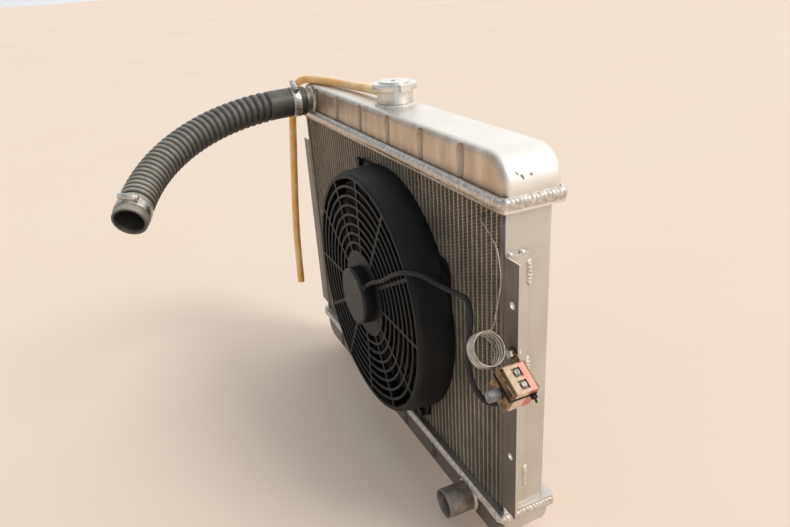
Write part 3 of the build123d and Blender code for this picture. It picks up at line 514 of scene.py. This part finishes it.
def coil_points():
    """The turns of the capillary, a little uneven as hand-wound tube is."""
    draw = random.Random(5)
    steps = int(COIL_TURNS * COIL_POINTS)
    sway = [draw.uniform(-COIL_SWAY, COIL_SWAY) for turn in range(int(COIL_TURNS) + 3)]
    lean = [draw.uniform(-COIL_LEAN, COIL_LEAN) for turn in range(int(COIL_TURNS) + 3)]
    points = []
    for step in range(steps + 1):
        turn = step / COIL_POINTS
        whole, part = int(turn), turn % 1
        wander = sway[whole] * (1 - part) + sway[whole + 1] * part
        shift = lean[whole] * (1 - part) + lean[whole + 1] * part
        angle = math.pi - 2 * math.pi * turn
        along = COIL_HALF_LENGTH * (2 * step / steps - 1) + shift * math.sin(math.pi * step / steps)
        reach = COIL_FAR_REACH + (COIL_RADIUS - COIL_FAR_REACH) * step / steps
        points.append(COIL_CENTRE + along * COIL_AXIS + (COIL_RADIUS + wander) * math.cos(angle) * COIL_UP
                      + (reach + wander) * math.sin(angle) * FAN_SIDE)
    return points


CAPILLARY_ROUTE = CAPILLARY_START + [tuple(point) for point in coil_points()] + CAPILLARY_END
capillary = cord_curve("capillary_wire", CAPILLARY_ROUTE, 1.4, "bare_steel_capillary")
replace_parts(capillary, "capillary_tube", "capillary_coil")


def mesh_piece(name, points, faces, slot, finish=None, smooth=True):
    """A mesh in the part's frame that rides on the radiator and takes a finish."""
    mesh = bpy.data.meshes.new(name)
    mesh.from_pydata([tuple(p) for p in points], [], faces)
    for face in mesh.polygons:
        face.use_smooth = smooth
    mesh.materials.append(finishes[finish or slot])
    piece = bpy.data.objects.new(name, mesh)
    bpy.context.scene.collection.objects.link(piece)
    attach(piece, "radiator")
    return piece


def lattice(rows, columns, first=0, rows_meet=False, columns_meet=True):
    """The faces of rows of points, each row joined to the next."""
    faces = []
    for row in range(rows if rows_meet else rows - 1):
        for column in range(columns if columns_meet else columns - 1):
            after = (column + 1) % columns
            here, there = first + row * columns, first + (row + 1) % rows * columns
            faces.append((here + column, here + after, there + after, there + column))
    return faces


def rounded_loop(centre, half_x, half_y, corner):
    """A rounded rectangle's outline as a function of the distance along it, and its length."""
    straights = (2 * (half_x - corner), 2 * (half_y - corner))
    quarter = math.pi / 2 * corner
    whole = 2 * sum(straights) + 4 * quarter

    def at(s):
        s %= whole
        for side in range(4):
            turn = side * math.pi / 2
            run = straights[side % 2]
            way = Vector((math.cos(turn), math.sin(turn), 0))
            outward = Vector((math.sin(turn), -math.cos(turn), 0))
            reach = (half_y, half_x)[side % 2]
            if s <= run:
                return centre + outward * reach + way * (s - run / 2), outward
            s -= run
            if s <= quarter or side == 3:
                angle = turn + s / corner
                pivot = centre + outward * (reach - corner) + way * (run / 2)
                out = Vector((math.sin(angle), -math.cos(angle), 0))
                return pivot + out * corner, out
            s -= quarter

    return at, whole


def round_loop(centre, axis, start, radius):
    """A circle's outline as a function of the distance along it, and its length."""
    side = axis.cross(start)

    def at(s):
        out = math.cos(s / radius) * start + math.sin(s / radius) * side
        return centre + radius * out, out

    return at, 2 * math.pi * radius


def straight_run(start, end, outward):
    """A straight seam as a function of the distance along it, and its length."""
    way = (end - start).normalized()

    def at(s):
        return start + way * s, outward

    return at, (end - start).length


def neck_line(node):
    """Where a neck's middle line lies along X and Z, and the neck's radius."""
    low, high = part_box(node)
    return (low.x + high.x) / 2, (low.z + high.z) / 2, (high.x - low.x) / 2


# Ribbed top hose: its route from the inlet neck, a straight cuff, a bend and a longer cuff
hose_x, hose_z = neck_line("inlet_neck")[:2]
HOSE_START = Vector((hose_x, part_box("top_hose")[1].y, hose_z))
HOSE_SLOPE = math.radians(24.6)
HOSE_ACROSS = Vector((math.cos(HOSE_SLOPE), 0, -math.sin(HOSE_SLOPE)))
HOSE_NORMAL = Vector((math.sin(HOSE_SLOPE), 0, math.cos(HOSE_SLOPE)))
HOSE_CUFF_IN = 21.0 * MM
HOSE_BEND_RADIUS = 298.3 * MM
HOSE_BEND = math.radians(65.9)
HOSE_CUFF_OUT = 37.7 * MM
HOSE_LENGTH = HOSE_CUFF_IN + HOSE_BEND_RADIUS * HOSE_BEND + HOSE_CUFF_OUT

# Its wall and the rings of its mesh, which are close together along the ribs
HOSE_RADIUS = 23.0 * MM
HOSE_BORE = 19.1 * MM
HOSE_LIP = 0.8 * MM
HOSE_AROUND = 56
RING_STEP_RIBBED = 0.8 * MM
RING_STEP_PLAIN = 3.0 * MM
BORE_RING_EVERY = 6

# Its grooves, which come closer together towards its free end, and the ribs between them
GROOVE_FIRST = 66.5 * MM
GROOVE_COUNT = 31
GROOVE_PITCH_START = 12.0 * MM
GROOVE_PITCH_END = 8.0 * MM
GROOVE_CLOSING = (GROOVE_PITCH_START - GROOVE_PITCH_END) / (2 * (GROOVE_COUNT - 1))
GROOVE_DEPTH = 2.3 * MM
GROOVE_FLANK = 4.0 * MM
RIB_STAND = 0.7 * MM
# The powers that shape the first and last groove's outer flank, and a rib's crown
FLANK_POWER = 1.6
CROWN_POWER = 0.75

# The dust and painted light on its ribs, at the inlet end and at the free end, where 1 covers all
DUST_AND_LIGHT_START = 0.17
DUST_AND_LIGHT_END = 1.05
# The power by which the dust and painted light keep to the ribs' crowns, leaving painted shade in the grooves
CROWN_LIGHT_POWER = 1.5

groove_places = [GROOVE_FIRST + GROOVE_PITCH_START * i - GROOVE_CLOSING * i * i for i in range(GROOVE_COUNT)]


def hose_line(s):
    """The hose's centre and its way forward, s metres along it."""
    if s <= HOSE_CUFF_IN:
        return HOSE_START + s * FAN_SIDE, FAN_SIDE
    turned = min((s - HOSE_CUFF_IN) / HOSE_BEND_RADIUS, HOSE_BEND)
    hub = HOSE_START + HOSE_CUFF_IN * FAN_SIDE + HOSE_BEND_RADIUS * HOSE_ACROSS
    centre = hub - HOSE_BEND_RADIUS * (math.cos(turned) * HOSE_ACROSS - math.sin(turned) * FAN_SIDE)
    way = math.cos(turned) * FAN_SIDE + math.sin(turned) * HOSE_ACROSS
    return centre + max(0, s - HOSE_CUFF_IN - HOSE_BEND_RADIUS * HOSE_BEND) * way, way


def hose_ring(s, radius):
    """A ring of points round the hose's line."""
    centre, way = hose_line(s)
    side = way.cross(HOSE_NORMAL)
    angles = [2 * math.pi * i / HOSE_AROUND for i in range(HOSE_AROUND)]
    return [centre + radius * (math.cos(angle) * HOSE_NORMAL + math.sin(angle) * side) for angle in angles]


def hose_skin(s):
    """The outer radius at s, and how far it stands out, from 0 in a groove to 1 on a rib."""
    after = next((i for i, place in enumerate(groove_places) if place > s), GROOVE_COUNT)
    if after in (0, GROOVE_COUNT):
        gap = groove_places[0] - s if after == 0 else s - groove_places[-1]
        sunk = max(0, math.cos(math.pi / 2 * min(1, gap / GROOVE_FLANK))) ** FLANK_POWER
        radius, out = HOSE_RADIUS - GROOVE_DEPTH * sunk, 1 - sunk
    else:
        before = groove_places[after - 1]
        part = (s - before) / (groove_places[after] - before)
        out = math.sin(math.pi * part) ** CROWN_POWER
        radius = HOSE_RADIUS - GROOVE_DEPTH + (GROOVE_DEPTH + RIB_STAND) * out
    edge = min(s, HOSE_LENGTH - s)
    if edge < HOSE_LIP:
        radius -= HOSE_LIP - math.sqrt(max(0, HOSE_LIP ** 2 - (HOSE_LIP - edge) ** 2))
    return radius, out


def hose_ring_places():
    """The distances along the hose at which its skin has a ring."""
    places, s = [], 0.0
    while s < HOSE_LENGTH:
        places.append(s)
        ribbed = groove_places[0] - GROOVE_FLANK < s < groove_places[-1] + GROOVE_FLANK
        s += RING_STEP_RIBBED if ribbed else RING_STEP_PLAIN
    return places + [HOSE_LENGTH]


def ribbed_hose():
    """One skin outside with its grooves, one inside, cut ends that show the wall, and its dust and painted
    light on the crowns.
    """
    outer = hose_ring_places()
    inner = list(reversed(outer[:-1][::BORE_RING_EVERY] + [HOSE_LENGTH]))
    points, dust_and_crown_light = [], []
    for s in outer:
        radius, out = hose_skin(s)
        points += hose_ring(s, radius)
        # The crowns' share of dust and painted light, growing towards the free end, and none in the grooves
        dust_and_crown_light += [(DUST_AND_LIGHT_START + (DUST_AND_LIGHT_END - DUST_AND_LIGHT_START) * s / HOSE_LENGTH) * out ** CROWN_LIGHT_POWER] * HOSE_AROUND
    for s in inner:
        points += hose_ring(s, HOSE_BORE)
        dust_and_crown_light += [DUST_AND_LIGHT_START] * HOSE_AROUND
    faces = lattice(len(outer) + len(inner), HOSE_AROUND, rows_meet=True)
    piece = mesh_piece("ribbed_hose", points, faces, "black_hose_rubber")
    piece.data.attributes.new("dust_and_crown_light", "FLOAT", "POINT").data.foreach_set("value", dust_and_crown_light)
    return piece


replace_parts(ribbed_hose(), "top_hose")

# Folded fins: one thin strip between each two tubes and at each side, brazed flat to the tubes
TUBE_PITCH = 9.5 * MM
TUBE_WIDTH = 2.0 * MM
TUBE_COLUMNS = 64
FIN_FOLD = 2.0 * MM
FIN_CREST = 1.0 * MM
FIN_BEND = 0.6 * MM
FIN_SETBACK = 0.2 * MM
# Real foil is 0.1 mm thick, and this is as coarse as it needs to be to show
FIN_FOIL = 0.3 * MM
# How unevenly the folds lie, in folds: how far each one wanders, and where a strip can start
FIN_WANDER = 0.22
FIN_PHASE = (0.4, 0.8)


def folded_fins(name, strips, draw):
    """Strips of folded foil, with its thickness."""
    core_height = fins_high.z - fins_low.z
    folds = int(core_height / FIN_FOLD)
    fan_y, front_y = fins_low.y + FIN_SETBACK, fins_high.y - FIN_SETBACK
    points, faces = [], []
    for left, right in strips:
        first = len(points)
        phase = draw.uniform(*FIN_PHASE)
        for fold in range(folds):
            wander = draw.uniform(-FIN_WANDER, FIN_WANDER)
            z = fins_low.z + (fold + phase + wander) * core_height / (folds + 1)
            for step in (-1, 1):
                outer, inner = z + step * FIN_CREST / 2, z + step * (FIN_CREST / 2 - FIN_FOIL)
                if fold % 2:
                    (x, rise), (far_x, far_rise) = (left, outer), (left + FIN_BEND, inner)
                else:
                    (x, rise), (far_x, far_rise) = (right - FIN_BEND, inner), (right, outer)
                points += [(x, fan_y, rise), (x, front_y, rise),
                           (far_x, front_y, far_rise), (far_x, fan_y, far_rise)]
        faces += lattice(2 * folds, 4, first)
    return mesh_piece(name, points, faces, "core_aluminium", smooth=False)


tube_places = [(column - (TUBE_COLUMNS - 1) / 2) * TUBE_PITCH for column in range(TUBE_COLUMNS)]
tube_sides = [x + side * TUBE_WIDTH / 2 for x in tube_places for side in (-1, 1)]
fin_strips = list(zip([fins_low.x] + tube_sides[1::2], tube_sides[::2] + [fins_high.x]))
fin_draw = random.Random(11)
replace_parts(folded_fins("fins_left", fin_strips[:TUBE_COLUMNS // 2], fin_draw), "core_fins")
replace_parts(folded_fins("fins_right", fin_strips[TUBE_COLUMNS // 2:], fin_draw), "core_fins")

# Fan switch: its own frame leans to the side, round the middle of its body
switch_low, switch_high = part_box("switch_body")
SWITCH_MIDDLE = Vector(((switch_low.x + switch_high.x) / 2, 0, (switch_low.z + switch_high.z) / 2))
SWITCH_LEAN = math.radians(30)
SWITCH_ACROSS = Vector((math.cos(SWITCH_LEAN), 0, -math.sin(SWITCH_LEAN)))
SWITCH_UP = Vector((math.sin(SWITCH_LEAN), 0, math.cos(SWITCH_LEAN)))


def on_switch(across, out, up):
    """A place in the switch's own frame, from millimetres."""
    return SWITCH_MIDDLE + MM * (across * SWITCH_ACROSS + out * FAN_SIDE + up * SWITCH_UP)


# Its strap, in millimetres: the loop's middle, half widths, corner and section, and its rise and fall
STRAP_ACROSS, STRAP_OUT, STRAP_UP = -0.75, 15.5, 7.0
STRAP_HALF_ACROSS = 16.75
STRAP_HALF_OUT = 16.0
STRAP_CORNER = 1.6
STRAP_SECTION = [
    (0.45, -1.0), (0.45, 1.0), (0.25, 1.3), (-0.25, 1.3),
    (-0.45, 1.0), (-0.45, -1.0), (-0.25, -1.3), (0.25, -1.3),
]
STRAP_ROWS = 140
STRAP_WANDER = 0.7

# The strap's lock and cut tail, in millimetres: where each ring is and its share of their half size
LOCK_OUT, LOCK_UP = 5, 7.4
LOCK_HALF = (3.4, 2.3)
TAIL_HALF = (3.4, 1.6)
LOCK_RINGS = [
    (16.3, 0.8, LOCK_HALF), (16.9, 1, LOCK_HALF), (20.2, 1, LOCK_HALF), (20.8, 0.75, LOCK_HALF),
    (20.8, 0.35, TAIL_HALF), (24.5, 0.33, TAIL_HALF), (24.8, 0.25, TAIL_HALF),
]
LOCK_AROUND = 12
LOCK_SQUARENESS = 0.8
TAIL_START = 20.8
TAIL_SAG = 0.09


def cable_strap():
    """A thin strap round the switch and its bracket, with a lock and a cut tail."""
    at, whole = rounded_loop(Vector((0, 0, 0)), STRAP_HALF_ACROSS, STRAP_HALF_OUT, STRAP_CORNER)
    points = []
    for row in range(STRAP_ROWS):
        centre, outward = at(whole * row / STRAP_ROWS)
        rise = STRAP_WANDER * math.sin(2 * math.pi * row / STRAP_ROWS)
        for stand, up in STRAP_SECTION:
            spot = centre + stand * outward
            points.append(on_switch(STRAP_ACROSS + spot.x, STRAP_OUT + spot.y, STRAP_UP + up + rise))
    faces = lattice(STRAP_ROWS, len(STRAP_SECTION), rows_meet=True)
    first = len(points)
    for across, size, (half_out, half_up) in LOCK_RINGS:
        sag = TAIL_SAG * max(0, across - TAIL_START) ** 2
        for turn in range(LOCK_AROUND):
            angle = 2 * math.pi * turn / LOCK_AROUND
            side, rise = math.cos(angle), math.sin(angle)
            squared = max(abs(side), abs(rise)) ** LOCK_SQUARENESS
            points.append(on_switch(across, LOCK_OUT + half_out * size * side / squared,
                                    LOCK_UP + half_up * size * rise / squared - sag))
    faces += lattice(len(LOCK_RINGS), LOCK_AROUND, first)
    faces.append(tuple(reversed(range(first, first + LOCK_AROUND))))
    faces.append(tuple(range(len(points) - LOCK_AROUND, len(points))))
    return mesh_piece("switch_strap", points, faces, "black_moulding")


# Its terminal screws, in millimetres: their places, the head's rim as radii and heights, and the slot
SCREW_ACROSS, SCREW_OUT, SCREW_UP = 7, 13.5, 17.5
SCREW_RIM = [(3.0, 0.0), (3.0, 0.6), (2.7, 0.95)]
SCREW_FACE = 0.95
SCREW_AROUND = 24
SLOT_CORNERS = [(2.5, -0.4), (2.5, 0.4), (-2.5, 0.4), (-2.5, -0.4)]
SLOT_FLOOR = 0.2


def terminal_screw(name, across):
    """A slotted cheese-head screw: a rounded rim, a flat face and a slot cut through it."""
    head = bmesh.new()
    angles = [2 * math.pi * i / SCREW_AROUND for i in range(SCREW_AROUND)]
    rings = [[head.verts.new((r * math.cos(a), r * math.sin(a), z)) for a in angles] for r, z in SCREW_RIM]
    for low, high in zip(rings, rings[1:]):
        for i in range(SCREW_AROUND):
            after = (i + 1) % SCREW_AROUND
            head.faces.new((low[i], low[after], high[after], high[i]))
    lip = [head.verts.new((x, y, SCREW_FACE)) for x, y in SLOT_CORNERS]
    floor = [head.verts.new((x, y, SLOT_FLOOR)) for x, y in SLOT_CORNERS]
    top, half = rings[-1], SCREW_AROUND // 2
    head.faces.new([lip[2], lip[1]] + top[1:half])
    head.faces.new([lip[0], lip[3]] + top[half + 1:])
    head.faces.new((top[-1], top[0], top[1], lip[1], lip[0]))
    head.faces.new((top[half - 1], top[half], top[half + 1], lip[3], lip[2]))
    for i in range(4):
        head.faces.new((lip[i], floor[i], floor[(i + 1) % 4], lip[(i + 1) % 4]))
    head.faces.new(floor)
    bmesh.ops.recalc_face_normals(head, faces=head.faces)
    points = [on_switch(across + v.co.x, SCREW_OUT - v.co.y, SCREW_UP + v.co.z) for v in head.verts]
    head.verts.index_update()
    faces = [tuple(v.index for v in face.verts) for face in head.faces]
    head.free()
    return mesh_piece(name, points, faces, "zinc_plated_steel", finish="clamp_steel", smooth=False)


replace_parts(cable_strap(), "switch_tie")
terminal_screw("terminal_screw_inner", -SCREW_ACROSS)
terminal_screw("terminal_screw_outer", SCREW_ACROSS)

# Weld beads: a ripple's rows, a row's points, and how unlike the ripples are in size
BEAD_STEPS = 6
BEAD_AROUND = 11
BEAD_SIZES = (0.93, 1.07)
# A ripple's height as a share of the bead's leg: at its lowest, and what its crown adds
RIPPLE_LOW = 0.62
RIPPLE_CROWN = 0.42
# How far a ripple's middle runs ahead of its edges, in ripples
RIPPLE_BEND = 0.7


def ripple_height(part):
    """How high a ripple is, from its start at 0 to its end at 1."""
    return RIPPLE_LOW + RIPPLE_CROWN * math.sin(math.pi * (0.1 + 0.8 * part)) ** 0.6


def end_taper(ripples):
    """A stitch's share of its full size, so many ripples from its end: it is whole a little after one."""
    return math.sqrt(min(1, (ripples + 0.05) / 1.2))


def weld_bead(name, route, up, size_mm, seed, low_mm=0.0, pitch_mm=4.0, arc=(0, 90), closed=True):
    """A bead along a corner: each ripple laps over the one before and bends back at its edges.

    size_mm is the bead's leg outward and up, low_mm its leg below the corner, and arc the degrees
    that it spans, from outward towards up.
    """
    at, whole = route
    draw = random.Random(seed)
    ripples = max(2, round(whole / (pitch_mm * MM)))
    pitch = whole / ripples
    sizes = [draw.uniform(*BEAD_SIZES) for ripple in range(ripples)]
    rows = ripples * BEAD_STEPS + (0 if closed else 1)
    low, high = (math.radians(angle) for angle in arc)
    points = []
    for row in range(rows):
        ripple, part = row // BEAD_STEPS % ripples, row % BEAD_STEPS / BEAD_STEPS
        full = ripple_height(part) * sizes[ripple]
        taper = 1.0 if closed else end_taper(min(row, rows - 1 - row) / BEAD_STEPS)
        for column in range(BEAD_AROUND):
            v = 2 * column / (BEAD_AROUND - 1) - 1
            s = (row / BEAD_STEPS - RIPPLE_BEND * v * v) * pitch
            centre, outward = at(s if closed else min(whole, max(0, s)))
            angle = (low + high) / 2 + v * (high - low) / 2
            leg = size_mm * MM * taper * (1 - (1 - full) * math.cos(math.pi / 2 * v) ** 0.5)
            height = math.sin(angle) * (low_mm / size_mm if angle < 0 else 1)
            points.append(centre + leg * (math.cos(angle) * outward + height * up))
    faces = lattice(rows, BEAD_AROUND, rows_meet=closed, columns_meet=False)
    return mesh_piece(name, points, faces, "welded_aluminium", finish="weld_aluminium")


# The tanks' walls, which stand inside the headers' rims, and the filler's neck
RIM_WIDTH = 3.0 * MM
TANK_CORNER = 5.0 * MM
FILLER_RADIUS = 24.0 * MM
wall_x, wall_y = header_high.x - RIM_WIDTH, header_low.y + RIM_WIDTH
middle_y = (header_low.y + header_high.y) / 2

# The stitches down the mounting angles, by height, and across their top ends, along Y, in millimetres
STITCHES = ((135, 103), (20, -12), (-128, -160))
END_STITCHES = ((3, 10), (17, 26))
END_STAND = 0.1 * MM


def tank_welds():
    """Beads round both tanks' feet, the filler and the two hose necks."""
    for side, where in ((1, "top"), (-1, "bottom")):
        middle = Vector((0, middle_y, side * header_high.z))
        seam = rounded_loop(middle, wall_x, middle_y - wall_y, TANK_CORNER)
        weld_bead(f"{where}_header_weld", seam, side * UP, 5.8,
                  seed=3 + side, low_mm=8.6, pitch_mm=4.7, arc=(-64, 98))
    filler_seam = round_loop(Vector((0, middle_y, tank_top)), UP, RIGHT, FILLER_RADIUS)
    weld_bead("filler_weld", filler_seam, UP, 3.4, seed=7, pitch_mm=3.4)
    for where, seed in (("inlet", -257), ("outlet", 232)):
        x, z, radius = neck_line(f"{where}_neck")
        seam = round_loop(Vector((x, wall_y, z)), FAN_SIDE, RIGHT, radius)
        weld_bead(f"{where}_neck_weld", seam, FAN_SIDE, 3.2, seed=seed, pitch_mm=3.4)


def angle_stitches():
    """Short beads down the front edge of each mounting angle, and two across its top end."""
    angle_low, angle_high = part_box("mounting_angle_right")
    for side, where in ((-1, "left"), (1, "right")):
        for top, low in STITCHES:
            start, end = (Vector((side * angle_low.x, angle_high.y, z * MM)) for z in (top, low))
            weld_bead(f"{where}_angle_stitch_{top}", straight_run(start, end, side * RIGHT), FRONT, 5.0,
                      seed=top, low_mm=4.0, arc=(-52, 98), closed=False)
        for near, far in END_STITCHES:
            end_x = side * (angle_low.x + END_STAND)
            start, end = (Vector((end_x, y * MM, angle_high.z)) for y in (near, far))
            weld_bead(f"{where}_angle_end_{near}", straight_run(start, end, side * RIGHT), UP, 4.4,
                      seed=near, low_mm=3.0, arc=(-45, 98), closed=False)


tank_welds()
angle_stitches()

# Solids that keep their shape: the widths, in millimetres, that their sharp edges are softened by
SOFT_EDGES_MM = {
    1.8: ("top_header", "bottom_header"),
    0.5: ("top_tank", "bottom_tank", "radiator_cap", "fan_shroud", "switch_body", "switch_knob"),
    0.4: ("fan_motor", "fan_ties", "drain_cock"),
    0.35: ("fan_guard", "fan_rotor"),
    0.3: ("filler_neck", "inlet_neck", "outlet_neck", "side_channel_left", "side_channel_right",
          "mounting_angle_left", "mounting_angle_right", "switch_bracket", "switch_bolt"),
    0.2: ("hose_clamp_engine", "hose_clamp_inlet"),
}
JOIN_REACH = 0.002 * MM
SHARP_ANGLE = math.radians(30)


def soften_edges(node, width_mm):
    """Joins a solid's faces and rounds its sharp edges a little."""
    join = node.modifiers.new("join", "WELD")
    join.merge_threshold = JOIN_REACH
    soften = node.modifiers.new("soften", "BEVEL")
    soften.width = width_mm * MM
    soften.segments = 2
    soften.limit_method = "ANGLE"
    soften.angle_limit = SHARP_ANGLE
    soften.harden_normals = True


for width_mm, names in SOFT_EDGES_MM.items():
    for name in names:
        soften_edges(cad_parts[name], width_mm)

# Each solid takes the finish of its slot, or one of its own
OWN_FINISH = {"inlet_neck": "scoured_neck", "outlet_neck": "scoured_neck"}
for name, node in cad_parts.items():
    for slot in node.material_slots:
        slot.material = finishes[OWN_FINISH.get(name, slot.material.name.split(".")[0])]

# Ground: just under the drain cock, and out past the view
GROUND_REACH = 60.0
GROUND_DROP = 2.0 * MM
ground_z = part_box("drain_cock")[0].z - GROUND_DROP
corners = ((-1, -1), (1, -1), (1, 1), (-1, 1))
ground_corners = [(x * GROUND_REACH, y * GROUND_REACH, ground_z) for x, y in corners]
ground_mesh = bpy.data.meshes.new("ground")
ground_mesh.from_pydata(ground_corners, [], [(0, 1, 2, 3)])
ground_mesh.materials.append(finishes["pale_floor"])
ground = bpy.data.objects.new("ground", ground_mesh)
bpy.context.scene.collection.objects.link(ground)

# Sun: weak, wide and a little warm, from the front and above the near end
SUN_FROM = Vector((0.62, 0.45, 0.75))
sun_data = bpy.data.lights.new("sun", "SUN")
sun_data.energy = 1.0
sun_data.angle = math.radians(20)
sun_data.color = (1.0, 0.97, 0.92)
sun = bpy.data.objects.new("sun", sun_data)
bpy.context.scene.collection.objects.link(sun)
sun.rotation_euler = SUN_FROM.to_track_quat("Z", "Y").to_euler()

# Sky: cool and greyer on the fan's side, near white on the front side
world = bpy.data.worlds.new("sky")
bpy.context.scene.world = world
world.use_nodes = True
tree = world.node_tree
tree.nodes.clear()
way = add_node(tree, "ShaderNodeTexCoord").outputs["Generated"]
frontward = add_node(tree, "ShaderNodeSeparateXYZ", {"Vector": way}).outputs["Y"]
shade = add_node(tree, "ShaderNodeMapRange",
                 {"Value": frontward, "From Min": -0.5, "From Max": 0.4}).outputs["Result"]
colour = add_node(tree, "ShaderNodeMix",
                  {"Factor": shade, FIRST: linear("#A6AFBA"), SECOND: linear("#FFFEFC")},
                  data_type="RGBA").outputs[MIXED]
sky = add_node(tree, "ShaderNodeBackground", {"Color": colour, "Strength": 1.2})
add_node(tree, "ShaderNodeOutputWorld", {"Surface": sky.outputs[0]})

bpy.context.scene.view_settings.view_transform = "Standard"
